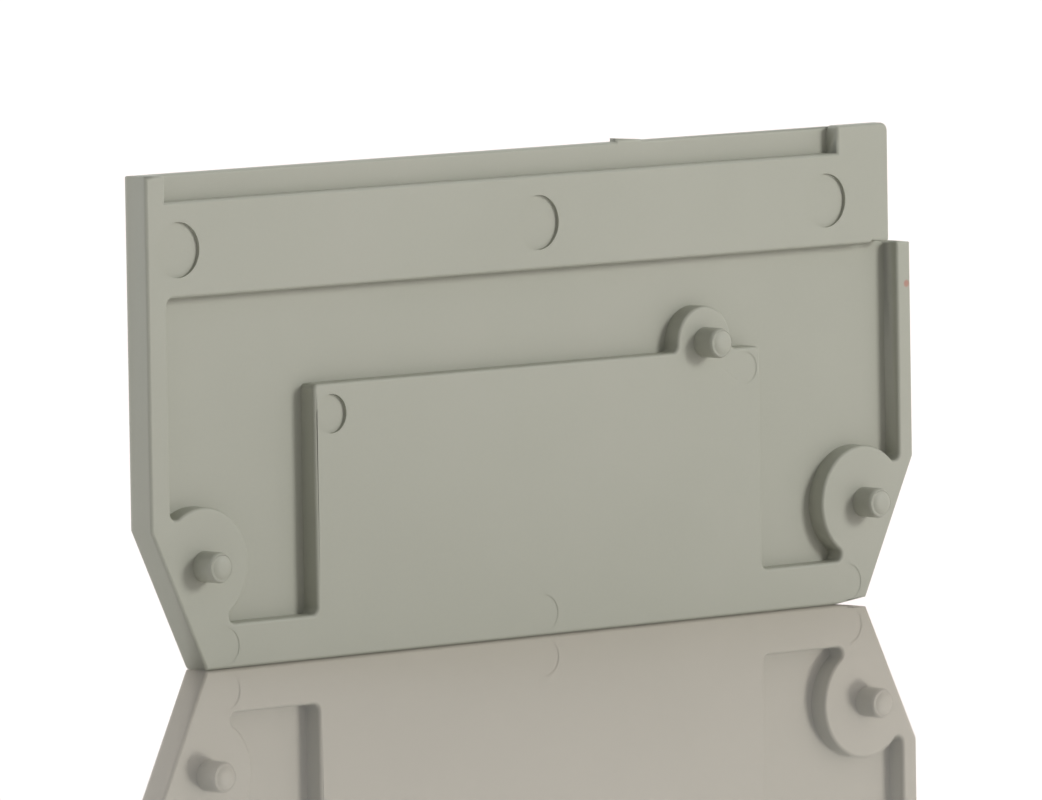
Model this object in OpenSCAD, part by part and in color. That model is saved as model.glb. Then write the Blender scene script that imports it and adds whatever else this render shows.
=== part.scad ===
// Terminal block end cover: one moulded plate with three locating pins on its mating face.
// It is drawn flat, outer face down and pins up, and stood on its long edge at the end.

/* [Plate] */
// Width of the plate, rim included
plate_w = 60.5; // [58:0.5:70]
// Height of the plate at its end block
plate_h = 28.8; // [28:0.1:34]
// Thickness from the outer face to the mating face
plate_t = 2.2; // [1.9:0.1:3]
// Radius of the rounded edge round the outer face
edge_r = 0.6; // [0.2:0.05:0.7]

/* [Outline] */
// How far the left foot corner stands in from the left side
foot_left_in = 4; // [2:0.1:5]
// Height of the bend on the left side
bend_left_h = 8.25; // [6:0.25:12]
// How far the right foot corner stands in from the right side
foot_right_in = 4.15; // [2:0.05:5]
// Height of the bend on the right side
bend_right_h = 8.55; // [6:0.05:12]
// Length of the slight rise at the right end of the bottom edge
foot_rise_l = 2.7; // [1:0.1:4]
// Height of that rise
foot_rise_h = 0.3; // [0.1:0.05:0.6]
// How far the rim stands out past the end block
rim_step = 1.75; // [1:0.05:2.5]
// Height of the rim's top where it meets the end block
rim_top_h = 21.7; // [19:0.05:23]
// Fall of the rim's top towards its outer side
rim_drop = 0.2; // [0:0.05:0.6]
// How far the front of the end block stands above the top edge
block_rise = 0.1; // [0.05:0.05:0.5]
// Radius of the end block's outer top corner
block_corner_r = 0.5; // [0.2:0.1:1]

/* [Borders and band] */
// Width of the left border
left_border = 1.5; // [1:0.1:2.2]
// Width of the rim on the right
rim_w = 1.15; // [0.8:0.05:1.6]
// Height of the bottom border
bottom_border = 2.6; // [1.8:0.1:3.2]
// Height of the band's lower edge
band_low_h = 21.6; // [19:0.1:22]
// Height of the band's upper edge
band_top_h = 27.15; // [24:0.05:27.4]
// Width of the end block at the right of the top strip
block_w = 4.2; // [3:0.1:6]
// Width of the lowered corner between the end block and the rim
corner_gap = 1.35; // [0.8:0.05:1.8]
// How far the end block's lower corner hangs below the line of the rim's top
corner_lip = 0.1; // [0:0.05:0.3]

/* [Recesses] */
// Depth of the field below the mating face
field_depth = 1.2; // [0.8:0.1:1.4]
// Depth of the open strip along the top edge
strip_depth = 1; // [0.6:0.1:1.2]
// Radius left by the cutter in the corners of the field
cutter_r = 0.4; // [0.1:0.05:0.5]

/* [Raised panel] */
// Distance of the panel from the left side
panel_x = 12.55; // [10:0.05:16]
// Width of the panel
panel_w = 35.4; // [28:0.1:36]
// Height of the panel's top above the bottom edge
panel_top_h = 16; // [12:0.25:17]
// Radius of the panel's two upper corners
panel_corner_r = 0.35; // [0.1:0.05:0.8]

/* [Pins and pads] */
// Radius of a pin
pin_r = 0.9; // [0.6:0.05:1.2]
// Length of a pin beyond the mating face
pin_l = 1.7; // [1:0.1:3]
// Chamfer on the tip of a pin
pin_chamfer = 0.3; // [0.1:0.05:0.4]
// Distance of the left pin from the left side
left_pin_in = 3.95; // [3:0.05:5]
// Distance of the right pin from the right side
right_pin_in = 4.2; // [3:0.05:5]
// Height of the two lower pins
low_pin_h = 6.05; // [5:0.05:7]
// Radius of the pad round each lower pin
low_pad_r = 3.4; // [2.5:0.05:3.8]
// Distance of the upper pin from the panel's right side
upper_pin_in = 4.5; // [3.5:0.1:8]
// Height of the upper pin above the panel's top
upper_pin_rise = 0.5; // [0:0.1:1.5]
// Radius of the pad round the upper pin
upper_pad_r = 2.15; // [1.6:0.05:2.6]

/* [Ejector marks] */
// Radius of the three marks on the band
band_mark_r = 1.62; // [1:0.02:2]
// Depth of the marks on the band
band_mark_depth = 0.2; // [0.05:0.05:0.4]
// Distance of the first band mark from the left side
band_mark_left_in = 2.35; // [2.1:0.05:4]
// Distance of the last band mark from the right side
band_mark_right_in = 7; // [5:0.1:9]
// Radius of the mark in the panel's upper left corner
panel_mark_r = 1.15; // [0.6:0.05:1.5]
// Distance of that mark from the panel's left side
panel_mark_in = 1.3; // [1.2:0.1:3]
// Distance of that mark below the panel's top
panel_mark_down = 1.8; // [1.5:0.1:3]
// Radius of the faint mark in the panel's upper right corner
faint_mark_r = 0.95; // [0.5:0.05:1]
// Distance of the faint mark from both edges of the panel
faint_mark_in = 1.25; // [1:0.05:2]
// Radius of the three faint marks on the bottom border
foot_mark_r = 1.1; // [0.6:0.1:1.2]
// Distance of the first foot mark from the left side
foot_mark_left_in = 5.4; // [5.2:0.1:7]
// Distance of the last foot mark from the right side
foot_mark_right_in = 5.6; // [5.4:0.1:7]
// Depth of the faint marks
faint_depth = 0.04; // [0.02:0.01:0.1]

/* [Gate] */
// Distance of the cut-off gate from the left side
gate_x = 37.5; // [20:0.1:45]
// Length of the cut-off gate
gate_l = 2.1; // [1:0.1:4]
// How far the cut-off gate stands above the top edge
gate_h = 0.2; // [0.1:0.05:0.4]

/* [Hidden] */

// Overshoot of a cut past the surface that it opens
over = 1;
// How far an edge cut runs on past each outward corner
reach = 8;
// Short flats that make up the rounded edge
edge_steps = 6;
// Facets of the small corner rounds and of the pads' outlines
corner_fn = 32;
pad_fn = 96;

top_h = plate_h - block_rise;
block_right = plate_w - rim_step;
block_left = block_right - block_w;
rim_inner = plate_w - rim_w;
foot_right = plate_w - foot_right_in;
foot_rise_x = foot_right + foot_right_in * foot_rise_h / bend_right_h;
gap_left = block_right - corner_gap;
panel_right = panel_x + panel_w;
wall_t = plate_t - strip_depth;

left_pin = [left_pin_in, low_pin_h];
right_pin = [plate_w - right_pin_in, low_pin_h];
upper_pin = [panel_right - upper_pin_in, panel_top_h + upper_pin_rise];

band_mark_h = (band_low_h + band_top_h) / 2;
band_marks = [band_mark_left_in, plate_w / 2, plate_w - band_mark_right_in];
foot_marks = [foot_mark_left_in, plate_w / 2, plate_w - foot_mark_right_in];

// Height of the sloping line that tops the rim and the lowered corner beside it
function rim_line(x) = rim_top_h - rim_drop * (x - block_right) / rim_step;

// Outline of the plate, counter-clockwise from the left foot, and its one inward corner
outline = [
    [foot_left_in, 0],
    [foot_rise_x - foot_rise_l, 0],
    [foot_rise_x, foot_rise_h],
    [plate_w, bend_right_h],
    [plate_w, rim_line(plate_w)],
    [block_right, rim_line(block_right)],
    [block_right, top_h],
    [0, top_h],
    [0, bend_left_h]
];
inward = 5;

// Section of what is cut from the outer edge: x runs inwards from the side, y up from the outer face
module edge_section() {
    polygon(concat(
        [[-over, edge_r], [-over, -over], [edge_r, -over]],
        [for (k = [0 : edge_steps]) let (turn = 270 - 90 * k / edge_steps)
            edge_r * [1 + cos(turn), 1 + sin(turn)]]
    ));
}

// Cut that rounds the outer edge from one corner of the outline to the next
module edge_cut(a, b, lead, trail) {
    translate(a) rotate(atan2(b.y - a.y, b.x - a.x)) translate([-lead, 0, 0])
        rotate([90, 0, 90]) linear_extrude(norm(b - a) + lead + trail) edge_section();
}

// All of the rounded edge round the outer face
module outer_edge_cuts() {
    for (i = [0 : len(outline) - 1])
        edge_cut(
            outline[i],
            outline[(i + 1) % len(outline)],
            i == inward ? 0 : reach,
            i + 1 == inward ? 0 : reach
        );
    inward_corner_cut();
}

// Cone that breaks the outer edge at the inward corner, between the two cuts that end there
module inward_corner_cut() {
    cone = 0.7 * edge_r;
    translate([outline[inward].x, outline[inward].y, -over])
        cylinder(h = cone + over, r1 = cone + over, r2 = 0, $fn = pad_fn);
}

// Front of the end block, which stands a little above the wall behind it
module block_front() {
    translate([block_left, band_top_h, wall_t]) cube([block_w, plate_h - band_top_h, strip_depth]);
}

// Cut that rounds the end block's outer top corner
module block_corner_cut() {
    translate([block_right - block_corner_r, plate_h - block_corner_r, -over]) difference() {
        cube([block_corner_r + over, block_corner_r + over, plate_t + 2 * over]);
        translate([0, 0, -over]) cylinder(h = plate_t + 4 * over, r = block_corner_r, $fn = pad_fn);
    }
}

// Full plate with its outer face at the bottom
module plate_body() {
    linear_extrude(plate_t) polygon(outline);
    block_front();
}

// Pad round a lower pin, joined to the foot corner on the side given
module low_pad(pin, side) {
    translate(pin) circle(low_pad_r, $fn = pad_fn);
    translate([side < 0 ? 0 : pin.x, 0]) square([side < 0 ? pin.x : plate_w - pin.x, pin.y]);
}

// Pad round the upper pin, running straight down into the panel
module upper_pad() {
    translate(upper_pin) circle(upper_pad_r, $fn = pad_fn);
    translate([upper_pin.x - upper_pad_r, panel_top_h - over])
        square([2 * upper_pad_r, upper_pin_rise + over]);
}

// Everything that stays level with the mating face inside the field
module raised_areas() {
    translate([panel_x, 0]) square([panel_w, panel_top_h]);
    low_pad(left_pin, -1);
    low_pad(right_pin, 1);
    upper_pad();
}

// Field between the borders
module field_area() {
    difference() {
        translate([left_border, bottom_border]) square([rim_inner - left_border, band_low_h - bottom_border]);
        raised_areas();
    }
}

// Lowered corner, where the field opens between the end block and the rim
module corner_area() {
    polygon([
        [gap_left, band_low_h - 2 * cutter_r],
        [rim_inner, band_low_h - 2 * cutter_r],
        [rim_inner, rim_top_h + over],
        [block_right, rim_top_h + over],
        [block_right, rim_line(block_right) - corner_lip],
        [gap_left, rim_line(gap_left) - corner_lip]
    ]);
}

// Field with the cutter's radius in its corners and the panel's corners rounded
module field_outline() {
    offset(r = -panel_corner_r, $fn = corner_fn) offset(delta = panel_corner_r)
        offset(r = cutter_r, $fn = corner_fn) offset(delta = -cutter_r) field_area();
    corner_area();
}

// Recessed field, cut from the mating face
module field_cut() {
    translate([0, 0, plate_t - field_depth]) linear_extrude(field_depth + over) field_outline();
}

// Open strip along the top edge, from the left border to the end block
module strip_cut() {
    translate([left_border, band_top_h, wall_t])
        cube([block_left - left_border, plate_h - band_top_h + over, strip_depth + over]);
}

// Round shallow mark that an ejector leaves in the mating face
module ejector_mark(at, r, depth) {
    translate([at.x, at.y, plate_t - depth]) cylinder(h = depth + over, r = r, $fn = pad_fn);
}

module ejector_marks() {
    for (x = band_marks) ejector_mark([x, band_mark_h], band_mark_r, band_mark_depth);
    ejector_mark([panel_x + panel_mark_in, panel_top_h - panel_mark_down], panel_mark_r, band_mark_depth);
    ejector_mark([panel_right - faint_mark_in, panel_top_h - faint_mark_in], faint_mark_r, faint_depth);
    for (x = foot_marks) ejector_mark([x, bottom_border / 2], foot_mark_r, faint_depth);
}

// Locating pin with a chamfered tip, rooted in the plate
module pin(at) {
    translate([at.x, at.y, plate_t / 2])
        cylinder(h = plate_t / 2 + pin_l - pin_chamfer, r = pin_r, $fn = pad_fn);
    translate([at.x, at.y, plate_t + pin_l - pin_chamfer])
        cylinder(h = pin_chamfer, r1 = pin_r, r2 = pin_r - pin_chamfer, $fn = pad_fn);
}

// Stub of the gate on the top edge of the wall behind the strip, cut off at a slope
module gate_stub() {
    translate([gate_x, top_h, edge_r]) linear_extrude(wall_t - edge_r)
        polygon([[0, -edge_r], [gate_l, -edge_r], [gate_l, gate_h / 4], [0, gate_h]]);
}

// The cover, drawn flat and then stood up with its pins towards -Y
module end_cover() {
    color([0.66, 0.665, 0.6])
    translate([-plate_w / 2, (plate_t + pin_l) / 2, 0]) rotate([90, 0, 0]) {
        difference() {
            plate_body();
            outer_edge_cuts();
            block_corner_cut();
            field_cut();
            strip_cut();
            ejector_marks();
        }
        pin(left_pin);
        pin(right_pin);
        pin(upper_pin);
        gate_stub();
    }
}

end_cover();
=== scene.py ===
import math

import bmesh
import bpy
from mathutils import Matrix, Vector


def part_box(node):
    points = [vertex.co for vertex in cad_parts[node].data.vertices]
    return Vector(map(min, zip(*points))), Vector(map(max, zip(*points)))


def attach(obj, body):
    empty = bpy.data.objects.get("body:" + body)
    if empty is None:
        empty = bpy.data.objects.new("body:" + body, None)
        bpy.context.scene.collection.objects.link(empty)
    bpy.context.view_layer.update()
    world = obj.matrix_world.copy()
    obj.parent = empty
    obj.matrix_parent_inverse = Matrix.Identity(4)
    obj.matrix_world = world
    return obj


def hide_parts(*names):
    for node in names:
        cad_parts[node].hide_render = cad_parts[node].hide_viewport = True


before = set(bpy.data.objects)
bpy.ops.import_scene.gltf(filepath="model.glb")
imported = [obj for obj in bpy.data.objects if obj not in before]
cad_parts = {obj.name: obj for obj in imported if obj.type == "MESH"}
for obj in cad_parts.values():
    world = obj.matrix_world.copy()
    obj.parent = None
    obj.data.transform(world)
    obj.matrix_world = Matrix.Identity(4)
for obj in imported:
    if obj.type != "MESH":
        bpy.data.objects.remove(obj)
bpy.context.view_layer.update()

MM = 0.001


# The moulding. One flat plate of grey polyamide, injection moulded in one shot with its borders,
# band, raised panel, pads and pins. The tool leaves a small soft radius on the outward edges of the
# pin side and keeps the inward ones sharp; the ejector marks are too shallow to carry a radius.
def depth_of_wall(face):
    """How deep a wall runs into the plate; faces that lie along the plate count as endless."""
    if abs(face.normal.y) > 0.5:
        return math.inf
    depths = [vert.co.y for vert in face.verts]
    return max(depths) - min(depths)


def solid_copy(node, name, soft_angle, shallow, faint, tip_y, front_y, back_y):
    """A merged copy of a CAD node's mesh, flat areas made one face each, outward edges weighted."""
    weld = 0.0005 * MM
    flatness = math.radians(0.5)
    pin_end_share, pin_side_share, form_share = 1.0, 0.43, 0.72
    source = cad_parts[node]
    form = bmesh.new()
    form.from_mesh(source.data)
    bmesh.ops.remove_doubles(form, verts=form.verts[:], dist=weld)
    bmesh.ops.dissolve_limit(form, angle_limit=flatness, verts=form.verts[:], edges=form.edges[:])
    weight = form.edges.layers.float.new("bevel_weight_edge")
    for edge in form.edges:
        if edge.calc_face_angle(0) < soft_angle:
            continue
        outward = edge.calc_face_angle_signed(0) > 0
        depth = min(depth_of_wall(face) for face in edge.link_faces)
        hindmost = max(vert.co.y for vert in edge.verts)
        if outward and hindmost < front_y:
            edge[weight] = pin_end_share if hindmost < tip_y else pin_side_share
        elif outward and depth > shallow and hindmost < back_y:
            edge[weight] = form_share
        elif depth > faint:
            edge.smooth = False
    for face in form.faces:
        face.smooth = True
    mesh = bpy.data.meshes.new(name)
    form.to_mesh(mesh)
    form.free()
    piece = bpy.data.objects.new(name, mesh)
    bpy.context.scene.collection.objects.link(piece)
    return piece


tips_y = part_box("end_cover")[0][1]
outer_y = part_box("end_cover")[1][1]
pin_length = 1.7 * MM
outer_rounding = 0.6 * MM
leeway = 0.05 * MM
cover = solid_copy(
    "end_cover",
    "end_cover_moulding",
    soft_angle=math.radians(30),
    shallow=0.25 * MM,
    faint=0.1 * MM,
    tip_y=tips_y + leeway,
    front_y=tips_y + pin_length - leeway,
    back_y=outer_y - outer_rounding - leeway,
)

edge_break = cover.modifiers.new("edge break", "BEVEL")
edge_break.width = 0.28 * MM
edge_break.segments = 3
edge_break.limit_method = "WEIGHT"
edge_break.use_clamp_overlap = False
flat_faces = cover.modifiers.new("flat faces", "WEIGHTED_NORMAL")
flat_faces.mode = "FACE_AREA"
flat_faces.weight = 100
flat_faces.keep_sharp = True


class Sock:
    """A shader socket whose arithmetic adds Math nodes."""

    def __init__(self, tree, out):
        self.tree = tree
        self.out = out

    def math(self, op, other, flipped=False):
        pair = (other, self) if flipped else (self, other)
        return node(self.tree, "ShaderNodeMath", {"operation": op}, {0: pair[0], 1: pair[1]})[0]

    def __add__(self, other):
        return self.math("ADD", other)

    def __radd__(self, other):
        return self.math("ADD", other, True)

    def __sub__(self, other):
        return self.math("SUBTRACT", other)

    def __rsub__(self, other):
        return self.math("SUBTRACT", other, True)

    def __mul__(self, other):
        return self.math("MULTIPLY", other)

    def __rmul__(self, other):
        return self.math("MULTIPLY", other, True)


def node(tree, kind, settings, sockets):
    """Adds one node, sets it and returns its outputs as Socks, by number and by name."""
    made = tree.nodes.new(kind)
    stops = settings.pop("stops", None)
    for key, value in settings.items():
        setattr(made, key, value)
    if stops:
        ramp = made.color_ramp
        while len(ramp.elements) > len(stops):
            ramp.elements.remove(ramp.elements[-1])
        while len(ramp.elements) < len(stops):
            ramp.elements.new(1.0)
        for stop, (position, shade) in zip(ramp.elements, stops):
            stop.position = position
            stop.color = shade
    for key, value in sockets.items():
        socket = made.inputs[key]
        if isinstance(value, Sock):
            tree.links.new(value.out, socket)
        else:
            socket.default_value = value
    outs = {out.name: Sock(tree, out) for out in made.outputs if out.enabled}
    outs.update({number: Sock(tree, out) for number, out in enumerate(made.outputs)})
    return outs


def linear(r, g, b):
    """An sRGB colour of 0 to 255 as the linear colour that a shader takes."""
    parts = []
    for part in (r, g, b):
        c = part / 255
        parts.append(c / 12.92 if c <= 0.04045 else ((c + 0.055) / 1.055) ** 2.4)
    return (*parts, 1.0)


def grey_polyamide():
    """Warm grey polyamide with a fine spark-eroded skin, slow flow clouds and one burnt speck."""
    skin = bpy.data.materials.new("grey_polyamide_moulded")
    skin.use_nodes = True
    tree = skin.node_tree
    tree.nodes.clear()
    place = node(tree, "ShaderNodeTexCoord", {}, {})["Object"]
    clouds = node(
        tree,
        "ShaderNodeTexNoise",
        {},
        {"Vector": place, "Scale": 60.0, "Detail": 3.0, "Roughness": 0.5},
    )[0]
    speckle = node(
        tree,
        "ShaderNodeTexNoise",
        {},
        {"Vector": place, "Scale": 4200.0, "Detail": 2.0, "Roughness": 0.6},
    )[0]
    dark, middle, pale = linear(165, 166, 151), linear(168, 169, 154), linear(171, 171, 157)
    colour = node(
        tree,
        "ShaderNodeValToRGB",
        {"stops": [(0.3, dark), (0.5, middle), (0.72, pale)]},
        {"Fac": clouds * 0.75 + speckle * 0.25},
    )[0]
    speck_centre = (29.85 * MM, -0.25 * MM, 19.0 * MM)
    away = node(tree, "ShaderNodeVectorMath", {"operation": "DISTANCE"}, {0: place, 1: speck_centre})[1]
    speck = node(
        tree,
        "ShaderNodeMapRange",
        {"interpolation_type": "SMOOTHSTEP"},
        {"Value": away, "From Min": 0.12 * MM, "From Max": 0.3 * MM, "To Min": 0.6, "To Max": 0.0},
    )[0]
    burnt = linear(176, 98, 78)
    colour = node(
        tree,
        "ShaderNodeMix",
        {"data_type": "RGBA"},
        {"Factor": speck, 6: colour, 7: burnt},
    )[2]
    rough = 0.46 + speckle * 0.16
    grain_depth = 0.02 * MM
    bump = node(tree, "ShaderNodeBump", {}, {"Strength": 0.12, "Distance": grain_depth, "Height": speckle})[0]
    surface = node(
        tree,
        "ShaderNodeBsdfPrincipled",
        {},
        {"Base Color": colour, "Roughness": rough, "Normal": bump, "IOR": 1.5, "Specular IOR Level": 0.5},
    )[0]
    node(tree, "ShaderNodeOutputMaterial", {}, {"Surface": surface})
    return skin


cover.data.materials.clear()
cover.data.materials.append(grey_polyamide())
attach(cover, "root")
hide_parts("end_cover")


# The table. A pale sheet of polished acrylic: at this low angle it mirrors the plate almost whole,
# and seen more steeply it turns matt and keeps the plate's soft shadow.
def glossy_sheet():
    """Pale acrylic whose polish gains on its matt body as it is seen more flatly."""
    sheet = bpy.data.materials.new("pale_acrylic")
    sheet.use_nodes = True
    tree = sheet.node_tree
    tree.nodes.clear()
    facing = node(tree, "ShaderNodeLayerWeight", {}, {"Blend": 0.5})["Facing"]
    body = node(tree, "ShaderNodeBsdfDiffuse", {}, {"Color": linear(246, 245, 243)})[0]
    polish = node(
        tree,
        "ShaderNodeBsdfGlossy",
        {},
        {"Color": linear(255, 247, 245), "Roughness": 0.02},
    )[0]
    surface = node(tree, "ShaderNodeMixShader", {}, {0: facing, 1: body, 2: polish})[0]
    node(tree, "ShaderNodeOutputMaterial", {}, {"Surface": surface})
    return sheet


half_table = 4.0
plane = bmesh.new()
bmesh.ops.create_grid(plane, x_segments=1, y_segments=1, size=half_table)
table_mesh = bpy.data.meshes.new("table_top")
plane.to_mesh(table_mesh)
plane.free()
table = bpy.data.objects.new("table_top", table_mesh)
bpy.context.scene.collection.objects.link(table)
table.data.materials.append(glossy_sheet())


# The light. A white tent that is bright behind the plate and dim in front of it, and one soft lamp
# from the front on the right, so that steps turned to the left stay dark. Looked at straight or in
# a mirror the tent is plain white.
def soft_lamp(name, azimuth, elevation, distance, size, power):
    """A square lamp aimed at the plate, placed by its direction from the plate in degrees."""
    a, e = math.radians(azimuth), math.radians(elevation)
    aim = Vector((0, 0, 14 * MM))
    out = Vector((math.sin(a) * math.cos(e), -math.cos(a) * math.cos(e), math.sin(e)))
    data = bpy.data.lights.new(name, "AREA")
    data.shape = "SQUARE"
    data.size = size
    data.energy = power
    lamp = bpy.data.objects.new(name, data)
    lamp.location = aim + out * distance
    lamp.rotation_mode = "QUATERNION"
    lamp.rotation_quaternion = (-out).to_track_quat("-Z", "Y")
    bpy.context.scene.collection.objects.link(lamp)


soft_lamp("key", azimuth=30, elevation=17, distance=0.6, size=0.15, power=1.57)

tent = bpy.data.worlds.new("white_tent")
tent.use_nodes = True
sky = tent.node_tree
sky.nodes.clear()
direction = node(sky, "ShaderNodeTexCoord", {}, {})["Generated"]
split = node(sky, "ShaderNodeSeparateXYZ", {}, {0: direction})
behind = node(
    sky,
    "ShaderNodeMapRange",
    {},
    {"Value": split["Y"], "From Min": -0.2, "From Max": 0.4},
)[0]
front_level, extra_behind = 0.325, 0.9
level = front_level + behind * extra_behind
cool_white = (0.99, 1.0, 1.05, 1)
lit = node(sky, "ShaderNodeBackground", {}, {"Color": cool_white, "Strength": level})[0]
plain_white = (1, 1, 1, 1)
seen = node(sky, "ShaderNodeBackground", {}, {"Color": plain_white, "Strength": 1.15})[0]
ray = node(sky, "ShaderNodeLightPath", {}, {})
direct = ray["Is Camera Ray"].math("MAXIMUM", ray["Is Glossy Ray"])
direct = direct.math("MAXIMUM", ray["Is Transmission Ray"])
bounced = ray["Diffuse Depth"].math("MINIMUM", 1.0)
looked_at = direct * (1.0 - bounced)
world = node(sky, "ShaderNodeMixShader", {}, {0: looked_at, 1: lit, 2: seen})[0]
node(sky, "ShaderNodeOutputWorld", {}, {"Surface": world})
bpy.context.scene.world = tent
bpy.context.scene.view_settings.view_transform = "Standard"


# The camera. A long lens low on the left, looking at the pin side and turned a little off level.
azimuth = math.radians(-42.077)
elevation = math.radians(4.651)
roll = math.radians(-0.890)
distance = 0.765
target = Vector((-1.560, -0.206, 14.015)) * MM
away_x = math.sin(azimuth) * math.cos(elevation)
away_y = -math.cos(azimuth) * math.cos(elevation)
back = Vector((away_x, away_y, math.sin(elevation)))
right = Vector((math.cos(azimuth), math.sin(azimuth), 0))
up = back.cross(right)
right_turned = right * math.cos(roll) + up * math.sin(roll)
up_turned = up * math.cos(roll) - right * math.sin(roll)
lens = bpy.data.cameras.new("photo_camera")
lens.sensor_width = 36
lens.lens = 450.1
lens.clip_start = 0.05
lens.clip_end = 20
camera = bpy.data.objects.new("photo_camera", lens)
turn = Matrix((right_turned, up_turned, back)).transposed().to_4x4()
camera.matrix_world = Matrix.Translation(target + back * distance) @ turn
bpy.context.scene.collection.objects.link(camera)
bpy.context.scene.camera = camera
